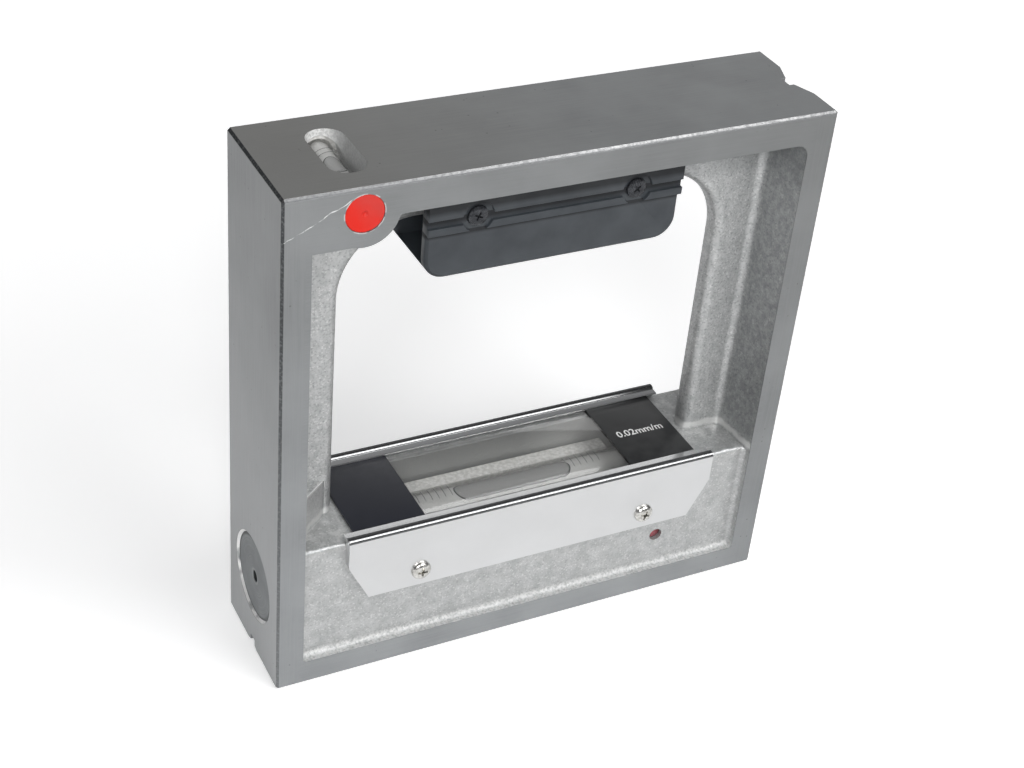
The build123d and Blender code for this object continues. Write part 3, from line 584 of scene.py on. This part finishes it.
line_finish, tree, shader, place = new_finish("burnt_in_lines")
line_tone = tint(tree, spread(tree, grain(tree, place, 2200.0), 0.35, 0.7), LINE_INK, LINE_FADE)
feed(tree, shader, {"Base Color": line_tone, "Roughness": 0.55})
main_lines = division_lines(FIRST_LINE, LINES_A_SIDE, "X", VIAL_AT, VIAL_RADIUS, LINE_SWEEP, 10)
make_piece(main_lines, "main_vial_lines", "carrier", "vial_glass", line_finish)


# Spirit and bubble: the vial is full of spirit, which brings the white bed up to the crown like a lens, so
# it is drawn pale and hardly clear. The bubble left in it lies under the crown, round at both ends, with
# a dark edge where it turns the light away.
SPIRIT_PALE = (0.67, 0.668, 0.655, 1)
SPIRIT_DEEP = (0.57, 0.568, 0.558, 1)
SPIRIT_CLEAR = (0.94, 0.942, 0.935, 1)
SPIRIT_RADIUS = 5.70
SPIRIT_HALF = 39.5
BUBBLE_FILL = (0.24, 0.24, 0.238, 1)
BUBBLE_LIGHT = (0.35, 0.35, 0.347, 1)
BUBBLE_EDGE = (0.055, 0.057, 0.057, 1)
BUBBLE_RISE = 0.09
BUBBLE_DEEP = 0.16
BUBBLE_LOW, BUBBLE_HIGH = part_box("main_bubble")
BUBBLE_AT = Vector(((BUBBLE_LOW[0] + BUBBLE_HIGH[0]) / 2, 0, VIAL_AT[2]))
BUBBLE_HALF = (BUBBLE_HIGH[0] - BUBBLE_LOW[0]) / 2
BUBBLE_WIDE = (BUBBLE_HIGH[1] - BUBBLE_LOW[1]) / 2 * 0.82

spirit_finish, tree, shader, place = new_finish("spirit_pale")
spirit_tone = tint(tree, spread(tree, grain(tree, place, 60.0, 2.0), 0.3, 0.7), SPIRIT_DEEP, SPIRIT_PALE)
feed(tree, shader, {"Base Color": spirit_tone, "Roughness": 0.35})
clear = wire(tree, "ShaderNodeBsdfTransparent", {"Color": SPIRIT_CLEAR})
shown = wire(tree, "ShaderNodeMixShader", {0: 0.88, 1: clear, 2: shader.outputs[0]})
feed(tree, tree.nodes["Material Output"], {"Surface": shown})
main_filling = lathe(vial_profile(SPIRIT_HALF, SPIRIT_RADIUS, 1.2), "X", VIAL_AT, 64)
make_piece(main_filling, "main_vial_spirit", "carrier", "spirit", spirit_finish, "main_spirit", sharp=60)


def bubble_finish(name, axis, at, half, wide):
    """Gas under glass in painted light and shade: a soft grey middle, lighter to one side, and a dark rim along
    its outline in plan.
    """
    finish, tree, shader, place = new_finish(name)
    x, y, _ = axes_of(tree, place)
    run, side = (x, y) if axis == "X" else (y, x)
    run_at, side_at = (at[0], at[1]) if axis == "X" else (at[1], at[0])
    beyond = calc(tree, "MAXIMUM", calc(tree, "SUBTRACT", off(tree, run, run_at), half - wide), 0.0)
    aside = calc(tree, "SUBTRACT", side, side_at)
    rim = spread(tree, reach(tree, beyond, aside), wide * 0.84, wide * 0.92)
    fill = tint(tree, spread(tree, aside, -wide * 0.6, wide * 0.6), BUBBLE_LIGHT, BUBBLE_FILL)
    feed(tree, shader, {"Base Color": tint(tree, rim, fill, BUBBLE_EDGE), "Roughness": 0.22})
    return finish


def bubble_form(axis, at, half, wide, crown):
    """A long drop under a round crown: a ball drawn out in its middle, pressed flat and bent to the glass."""
    bm = bmesh.new()
    bmesh.ops.create_uvsphere(bm, u_segments=48, v_segments=24, radius=wide)
    for v in bm.verts:
        sunk = BUBBLE_DEEP * MM * (0.5 - 0.5 * v.co.z / wide)
        v.co.z = math.sqrt(crown ** 2 - v.co.y ** 2) - sunk
        v.co.x += math.copysign(half - wide, v.co.x) if abs(v.co.x) > 1e-3 * wide else 0.0
    if axis == "Y":
        bmesh.ops.rotate(bm, verts=bm.verts, cent=(0, 0, 0), matrix=Matrix.Rotation(math.radians(90), 3, "Z"))
    bmesh.ops.translate(bm, verts=bm.verts, vec=at)
    bmesh.ops.recalc_face_normals(bm, faces=bm.faces)
    return bm


main_gas = bubble_finish("main_bubble_gas", "X", BUBBLE_AT, BUBBLE_HALF, BUBBLE_WIDE)
main_form = bubble_form("X", BUBBLE_AT, BUBBLE_HALF, BUBBLE_WIDE, (SPIRIT_RADIUS + BUBBLE_RISE) * MM)
make_piece(main_form, "main_bubble_gas", "main_bubble", "bubble", main_gas, "main_bubble", sharp=80)


# Zero adjuster: a small steel spindle in a hole below the front cover. After setting, a drop of dark red
# lacquer is run over its head so that any tampering shows.
LACQUER_RED = (0.25, 0.010, 0.024, 1)
LACQUER_DARK = (0.07, 0.004, 0.009, 1)
ADJUST_AT = (41.5 * MM, 0, 18.0 * MM)
lacquer_finish, tree, shader, place = new_finish("red_seal_lacquer")
lacquer_flow = grain(tree, place, 500.0, 3.0)
feed(tree, shader, {
    "Base Color": tint(tree, spread(tree, lacquer_flow, 0.35, 0.65), LACQUER_DARK, LACQUER_RED),
    "Roughness": 0.18,
    "Coat Weight": 0.6,
    "Normal": relief(tree, lacquer_flow, 0.15 * MM, 0.8)})
seal_low, seal_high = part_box("adjuster_seal")
seal_front = seal_low[1] / MM
seal_back = seal_high[1] / MM
drop = ((0.0, 0.0), (0.03, 0.7), (0.13, 1.2), (0.30, 1.6), (0.46, 1.88))
seal_profile = [(seal_front + a, r) for a, r in drop] + [(seal_back, 1.9), (seal_back, 0.0)]
seal = lathe(seal_profile, "Y", ADJUST_AT, 40)
make_piece(seal, "adjuster_lacquer", "adjuster", "seal_red", lacquer_finish, "adjuster_seal", sharp=60)


# Cover screws: small pan heads of bright plated steel, headed cold and cross recessed. Two hold each cover,
# and the adjuster's spindle is plated like them.
PLATED = (0.80, 0.79, 0.76, 1)
PLATED_SHADE = (0.50, 0.49, 0.46, 1)
COVER_FACE = 18.5
COVER_SCREWS = (34.3, 30.0)
COVER_SCREW_LEAN = (4, 16)
COVER_SCREW = (
    (-1.5, 0.0), (-1.47, 0.9), (-1.36, 1.6), (-1.12, 2.2), (-0.72, 2.62), (-0.3, 2.8), (-0.05, 2.78),
    (0.0, 2.7), (0.0, 1.5), (6.48, 1.5), (6.48, 0.0))
COVER_RECESS = (2.05, 0.80, 1.1)


def plated_finish(name, pale, shade, metal):
    """Plated or blackened steel with a cloudy tone and fine handling marks."""
    finish, tree, shader, place = new_finish(name)
    tone_drift = grain(tree, place, 700.0, 4.0)
    marks = grain(tree, place, 1.0, 3.0, (5000, 5000, 900))
    feed(tree, shader, {
        "Base Color": tint(tree, spread(tree, tone_drift, 0.35, 0.65), shade, pale),
        "Metallic": metal,
        "Roughness": spread(tree, marks, 0.3, 0.7, 0.18, 0.34),
        "Normal": relief(tree, marks, 0.015 * MM, 0.6)})
    return finish


def cut_from(solid, tool):
    """Takes one closed mesh out of another and gives the rest as a new mesh to edit."""
    made = []
    for bm in (solid, tool):
        mesh = bpy.data.meshes.new("blank")
        bm.to_mesh(mesh)
        bm.free()
        made.append(bpy.data.objects.new("blank", mesh))
        bpy.context.collection.objects.link(made[-1])
    cut = made[0].modifiers.new("recess", "BOOLEAN")
    cut.operation = "DIFFERENCE"
    cut.solver = "EXACT"
    cut.use_self = True
    cut.object = made[1]
    bpy.context.view_layer.update()
    left = bmesh.new()
    left.from_object(made[0], bpy.context.evaluated_depsgraph_get())
    for blank in made:
        mesh = blank.data
        bpy.data.objects.remove(blank)
        bpy.data.meshes.remove(mesh)
    return left


def cross_recess(half, wide, deep):
    """The tool for a cross recess, narrowing as it goes in along +Y from the face at y = 0."""
    bm = bmesh.new()
    for turned in (0, 90):
        size = Matrix.Diagonal((2 * half * MM, 2 * deep * MM, wide * MM, 1))
        arm = bmesh.ops.create_cube(bm, size=1.0, matrix=size)["verts"]
        for v in arm:
            if v.co.y > 0:
                v.co.x *= 0.45
                v.co.z *= 0.6
        bmesh.ops.rotate(bm, verts=arm, cent=(0, 0, 0), matrix=Matrix.Rotation(math.radians(turned), 3, "Y"))
    return bm


def screw(profile, recess, lean):
    """A screw along Y with its head to the front: turned head and shank, and a cross recess in its face."""
    tool = cross_recess(*recess)
    bmesh.ops.translate(tool, verts=tool.verts, vec=(0, profile[0][0] * MM, 0))
    bmesh.ops.rotate(tool, verts=tool.verts, cent=(0, 0, 0), matrix=Matrix.Rotation(math.radians(lean), 3, "Y"))
    return cut_from(lathe(profile, "Y", (0, 0, 0), 48), tool)


def screw_pairs(profile, recess, leans, places, seat, faces):
    """Screws at equal distances left and right, in the front face (-1), the rear face (1) or both."""
    pairs = bmesh.new()
    for face in faces:
        for side, lean in zip((-1, 1), leans):
            one = screw(profile, recess, lean)
            if face > 0:
                bmesh.ops.rotate(one, verts=one.verts, cent=(0, 0, 0), matrix=Matrix.Rotation(math.pi, 3, "Z"))
            at = Vector((side * places[0], face * seat, places[1])) * MM
            bmesh.ops.translate(one, verts=one.verts, vec=at)
            loose = bpy.data.meshes.new("loose")
            one.to_mesh(loose)
            one.free()
            pairs.from_mesh(loose)
            bpy.data.meshes.remove(loose)
    return pairs


plated = plated_finish("screw_plate", PLATED, PLATED_SHADE, 1.0)
dress("zero_adjuster", plated)
for face, side in ((-1, "front"), (1, "rear")):
    pair = screw_pairs(COVER_SCREW, COVER_RECESS, COVER_SCREW_LEAN, COVER_SCREWS, COVER_FACE, (face,))
    make_piece(
        pair, side + "_cover_screw_pair", "frame", "screw_steel", plated, side + "_cover_screws", sharp=28)


# Sight plates: a clear plate lets the vial be read, between two black lacquered plates that carry the
# sensitivity figure at the right. All three lie on the shelf under the covers' lips.
CLEAR_TINT = (0.972, 0.973, 0.972, 1)
PLATE_BLACK = (0.014, 0.0145, 0.0155, 1)
PLATE_DUSK = (0.025, 0.026, 0.0265, 1)
PLATE_NAVY = (0.008, 0.0095, 0.018, 1)
FIGURE_WHITE = (0.82, 0.83, 0.82, 1)
FIGURE_DULL = (0.66, 0.67, 0.67, 1)
FIGURE_LONG = 14.6 * MM
FIGURE_AT = Vector((41.6 * MM, 0.0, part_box("right_end_plate")[1][2] + 0.03 * MM))


def eased_copy(node, ease):
    """A solid's mesh with its flats joined up and its sharp edges eased."""
    bm = bmesh.new()
    bm.from_mesh(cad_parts[node].data)
    bmesh.ops.remove_doubles(bm, verts=bm.verts, dist=1e-6)
    bmesh.ops.dissolve_limit(bm, angle_limit=math.radians(0.6), verts=bm.verts, edges=bm.edges)
    sharp = [e for e in bm.edges if e.is_manifold and e.calc_face_angle(0.0) > math.radians(25)]
    bmesh.ops.bevel(
        bm, geom=sharp, offset=ease * MM, offset_type="OFFSET", affect="EDGES", segments=2, profile=0.5,
        clamp_overlap=True, material=-1)
    return bm


window_finish = clear_finish("window_clear", CLEAR_TINT, 0.04, 0.02, 60.0)
make_piece(
    eased_copy("window_plate", 0.12), "window_pane", "frame", "clear_plate", window_finish, "window_plate")

black_finish, tree, shader, place = new_finish("black_lacquer_plate")
x, _, _ = axes_of(tree, place)
mottle = grain(tree, place, 260.0, 5.0)
plate_tone = tint(tree, spread(tree, mottle, 0.35, 0.65), PLATE_BLACK, PLATE_DUSK)
feed(tree, shader, {
    "Base Color": tint(tree, spread(tree, x, 20.0 * MM, -30.0 * MM, 0.0, 0.8), plate_tone, PLATE_NAVY),
    "Roughness": spread(tree, mottle, 0.3, 0.7, 0.34, 0.48),
    "Normal": relief(tree, grain(tree, place, 2400.0, 2.0), 0.015 * MM, 0.6)})
for side in ("left", "right"):
    make_piece(
        eased_copy(side + "_end_plate", 0.15), side + "_black_plate", "frame", "black_plate", black_finish,
        side + "_end_plate")

figure_finish, tree, shader, place = new_finish("printed_white")
figure_tone = tint(tree, spread(tree, grain(tree, place, 1800.0), 0.35, 0.6), FIGURE_DULL, FIGURE_WHITE)
feed(tree, shader, {"Base Color": figure_tone, "Roughness": 0.5})
figure_curve = bpy.data.curves.new("figure", "FONT")
figure_curve.body = "0.02mm/m"
figure_curve.size = 1.0
figure_curve.align_x = "CENTER"
figure_curve.align_y = "CENTER"
figure_curve.extrude = 0.008
figure_curve.offset = 0.012
figure_text = bpy.data.objects.new("figure", figure_curve)
bpy.context.collection.objects.link(figure_text)
bpy.context.view_layer.update()
figure_mesh = bpy.data.meshes.new_from_object(figure_text.evaluated_get(bpy.context.evaluated_depsgraph_get()))
bpy.data.objects.remove(figure_text)
figure = bmesh.new()
figure.from_mesh(figure_mesh)
bmesh.ops.remove_doubles(figure, verts=figure.verts, dist=1e-5)
bmesh.ops.recalc_face_normals(figure, faces=figure.faces)
low_x = min(v.co.x for v in figure.verts)
high_x = max(v.co.x for v in figure.verts)
grow = FIGURE_LONG / (high_x - low_x)
bmesh.ops.scale(figure, verts=figure.verts, vec=(grow, grow * 1.08, grow * 0.4))
middle = Vector(((low_x + high_x) / 2 * grow, 0, 0))
bmesh.ops.translate(figure, verts=figure.verts, vec=FIGURE_AT - middle)
make_piece(figure, "sensitivity_figure", "frame", "black_plate", figure_finish, sharp=30)


# Side covers: drawn bright sheet, satin on its broad face and polished over the rounded crest. The lip behind the
# crest holds the plates down. Dark reflections are painted in lines along and under the crest, and painted shade
# darkens the crest.
SHEET_BRIGHT = (0.73, 0.735, 0.74, 1)
SHEET_DULL = (0.70, 0.705, 0.708, 1)
SHEET_CREST_SHADE = (0.30, 0.302, 0.305, 1)
SHEET_DARK_REFLECTION = (0.09, 0.092, 0.095, 1)
LIP_TOP = 44.80 * MM
CREST_INNER = 16.0 * MM
sheet_finish, tree, shader, place = new_finish("drawn_bright_sheet")
_, y, z = axes_of(tree, place)
deep = calc(tree, "ABSOLUTE", y)
drawn = grain(tree, place, 1.0, 4.0, (40, 1500, 1500))
haze = grain(tree, place, 70.0, 4.0)
sheet_tone = tint(tree, spread(tree, haze, 0.3, 0.7), SHEET_DULL, SHEET_BRIGHT)
# painted shade: the crest's colour is darkened, which dims its reflections
rounded = both(
    tree, spread(tree, z, LIP_TOP, LIP_TOP + 0.08 * MM),
    spread(tree, deep, CREST_INNER - 0.4 * MM, CREST_INNER - 0.2 * MM))
sheet_tone = tint(tree, rounded, sheet_tone, SHEET_CREST_SHADE)
# painted reflections: dark lines on the outer face under the crest and along the crest's top
under_crest = both(
    tree, spread(tree, z, LIP_TOP - 0.38 * MM, LIP_TOP - 0.30 * MM),
    spread(tree, z, LIP_TOP + 0.22 * MM, LIP_TOP + 0.14 * MM), spread(tree, deep, 18.0 * MM, 18.1 * MM))
on_crest = both(
    tree, spread(tree, deep, CREST_INNER + 0.70 * MM, CREST_INNER + 0.80 * MM),
    spread(tree, deep, CREST_INNER + 1.75 * MM, CREST_INNER + 1.65 * MM),
    spread(tree, z, LIP_TOP + 0.40 * MM, LIP_TOP + 0.50 * MM))
dark_reflection_lines = both(tree, calc(tree, "MAXIMUM", under_crest, on_crest), 0.9)
crest = spread(tree, z, LIP_TOP - 1.0 * MM, LIP_TOP - 0.2 * MM)
satin = spread(tree, drawn, 0.3, 0.7, 0.28, 0.33)
polish = spread(tree, drawn, 0.3, 0.7, 0.24, 0.27)
sheet_height = both(tree, drawn, spread(tree, crest, 0.0, 1.0, 1.0, 0.1))
feed(tree, shader, {
    "Base Color": tint(tree, dark_reflection_lines, sheet_tone, SHEET_DARK_REFLECTION),
    "Metallic": 1.0,
    "Roughness": wire(tree, "ShaderNodeMix", {0: crest, 2: satin, 3: polish}),
    "Normal": relief(tree, sheet_height, 0.002 * MM, 0.6)})
for side in ("front", "rear"):
    make_piece(
        eased_copy(side + "_cover", 0.14), side + "_cover_sheet", "frame", "bright_sheet", sheet_finish,
        side + "_cover", sharp=22)


# Hand grip: one black moulding round the top web that keeps the hand's warmth off the iron, with ribs along
# its upper half. Two blackened screws a side sit in round pockets between the ribs.
GRIP_BLACK = (0.026, 0.031, 0.037, 1)
GRIP_WORN = (0.040, 0.047, 0.054, 1)
GRIP_SHADOW = (0.006, 0.007, 0.009, 1)
BLACK_STEEL = (0.055, 0.058, 0.064, 1)
BLACK_STEEL_SHADE = (0.022, 0.024, 0.028, 1)
GRIP_SCREWS = (22.0, 132.8)
GRIP_SCREW_SEAT = 11.0
GRIP_SCREW_LEAN = (25, 50)
GRIP_SCREW = (
    (-0.9, 0.0), (-0.88, 1.3), (-0.78, 2.1), (-0.55, 2.58), (-0.2, 2.75), (0.0, 2.72), (0.0, 1.48),
    (7.75, 1.48), (7.75, 0.0))
GRIP_RECESS = (1.6, 0.55, 0.7)
grip_finish, tree, shader, place = new_finish("black_moulding")
_, y, z = axes_of(tree, place)
grip_cloud = grain(tree, place, 120.0, 5.0)
grip_skin = grain(tree, place, 2200.0, 2.0)
grip_tone = tint(tree, spread(tree, grip_cloud, 0.3, 0.7), GRIP_BLACK, GRIP_WORN)
# painted shadow: dark lines in the groove and under the lower rib, and a dark band under the frame's top rim
groove = both(tree, spread(tree, z, 131.2 * MM, 132.2 * MM), spread(tree, z, 133.6 * MM, 133.4 * MM))
below = both(tree, spread(tree, z, 127.7 * MM, 128.5 * MM), spread(tree, z, 129.5 * MM, 129.3 * MM))
sunk = spread(tree, calc(tree, "ABSOLUTE", y), 11.5 * MM, 11.3 * MM)
rib_shadow = both(tree, calc(tree, "MAXIMUM", groove, below), sunk)
rib_shadow = calc(tree, "MAXIMUM", rib_shadow, spread(tree, z, 134.4 * MM, 135.8 * MM, 0.0, 0.9))
grip_gloss = calc(tree, "SUBTRACT", grip_cloud, calc(tree, "MULTIPLY", rib_shadow, 0.8))
grip_height = calc(tree, "ADD", grip_skin, calc(tree, "MULTIPLY", grip_cloud, 2.0))
feed(tree, shader, {
    "Base Color": tint(tree, calc(tree, "MULTIPLY", rib_shadow, 0.92), grip_tone, GRIP_SHADOW),
    "Roughness": spread(tree, grip_gloss, -0.4, 0.7, 0.75, 0.38),
    "Normal": relief(tree, grip_height, 0.02 * MM, 0.7)})
make_piece(
    eased_copy("hand_grip", 0.22), "hand_grip_moulding", "frame", "grip_black", grip_finish, "hand_grip", sharp=32)
blackened = plated_finish("blackened_steel", BLACK_STEEL, BLACK_STEEL_SHADE, 0.6)
grip_set = screw_pairs(GRIP_SCREW, GRIP_RECESS, GRIP_SCREW_LEAN, GRIP_SCREWS, GRIP_SCREW_SEAT, (-1, 1))
make_piece(grip_set, "grip_screw_set", "frame", "screw_black", blackened, "grip_screws", sharp=28)


# Cross vial: a short glass vial across the frame, cemented into its bore and read through the oval slot in
# the top face. It has two lines on each side of its bubble.
CROSS_AT = Vector((CROSS_X, 0, CROSS_Z))
CROSS_HALF = 14.0
CROSS_RADIUS = 4.0
CROSS_SPIRIT_HALF = 12.3
CROSS_SPIRIT_RADIUS = 3.10
CROSS_BUBBLE_HALF = 4.0 * MM
CROSS_BUBBLE_WIDE = 2.2 * MM
CROSS_FIRST_LINE = 4.6
CROSS_LINES_A_SIDE = 2
CROSS_LINE_SWEEP = 80
cross_tube = lathe(vial_profile(CROSS_HALF, CROSS_RADIUS, 1.5), "Y", CROSS_AT, 48)
make_piece(cross_tube, "cross_vial_glass", "frame", "vial_glass", glass_finish, "cross_vial", sharp=60)
cross_filling = lathe(vial_profile(CROSS_SPIRIT_HALF, CROSS_SPIRIT_RADIUS, 0.8), "Y", CROSS_AT, 40)
make_piece(cross_filling, "cross_vial_spirit", "frame", "spirit", spirit_finish, "cross_spirit", sharp=60)
cross_gas = bubble_finish("cross_bubble_gas", "Y", CROSS_AT, CROSS_BUBBLE_HALF, CROSS_BUBBLE_WIDE)
cross_form = bubble_form(
    "Y", CROSS_AT, CROSS_BUBBLE_HALF, CROSS_BUBBLE_WIDE, (CROSS_SPIRIT_RADIUS + BUBBLE_RISE) * MM)
make_piece(cross_form, "cross_bubble_gas", "cross_bubble", "bubble", cross_gas, "cross_bubble", sharp=80)
cross_lines = division_lines(
    CROSS_FIRST_LINE, CROSS_LINES_A_SIDE, "Y", CROSS_AT, CROSS_RADIUS, CROSS_LINE_SWEEP, 12)
make_piece(cross_lines, "cross_vial_lines", "frame", "vial_glass", line_finish)


# Cross vial cement: a cup of the same plaster closes the bore round each end of the cross vial, beyond its
# slot. It is run in from outside before the buttons are pressed home.
CEMENT_SECTION = ((14.2, 0.0), (14.2, 4.03), (11.4, 4.03), (11.4, 4.97), (15.6, 4.97), (15.6, 0.0))
for face, side in ((-1, "front"), (1, "rear")):
    cup = lathe([(face * along, out) for along, out in CEMENT_SECTION], "Y", CROSS_AT, 48)
    make_piece(cup, "cross_cement_" + side, "frame", "plaster", plaster_finish)


# Cross bore buttons: red moulded plugs pressed flush into the front and back of the cross bore. The gate
# left a small dimple in the middle of each.
BUTTON_RED = (0.64, 0.013, 0.004, 1)
BUTTON_LIGHT = (0.55, 0.034, 0.026, 1)
BUTTON_FACE = FRAME_DEEP / MM
BUTTON_SECTION = (
    (0.45, 0.0), (0.42, 0.3), (0.25, 0.52), (0.06, 0.66), (0.0, 0.8), (0.0, 0.95), (0.0, 4.4), (0.0, 4.55),
    (0.09, 4.83), (0.3, 4.98), (3.0, 4.98), (3.0, 0.0))
button_finish, tree, shader, place = new_finish("red_button")
x, _, z = axes_of(tree, place)
button_flow = grain(tree, place, 260.0, 3.0)
# the red is paler towards the upper right
streak = spread(tree, button_flow, 0.3, 0.7, -2.0 * MM, 2.0 * MM)
paler_up_right = calc(tree, "ADD", calc(tree, "ADD", x, z), streak)
paler_up_right = spread(tree, paler_up_right, CROSS_X + CROSS_Z - 4.0 * MM, CROSS_X + CROSS_Z + 4.0 * MM)
feed(tree, shader, {
    "Base Color": tint(tree, paler_up_right, BUTTON_RED, BUTTON_LIGHT),
    "Roughness": spread(tree, button_flow, 0.3, 0.7, 0.42, 0.55),
    "Specular IOR Level": 0.3,
    "Normal": relief(tree, grain(tree, place, 1500.0, 2.0), 0.02 * MM, 0.6)})
for face, side in ((-1, "front"), (1, "rear")):
    button = lathe([(face * (BUTTON_FACE - sunk_in), out) for sunk_in, out in BUTTON_SECTION], "Y", CROSS_AT, 64)
    make_piece(
        button, side + "_red_button", "frame", "plug_red", button_finish, "cross_" + side + "_plug")
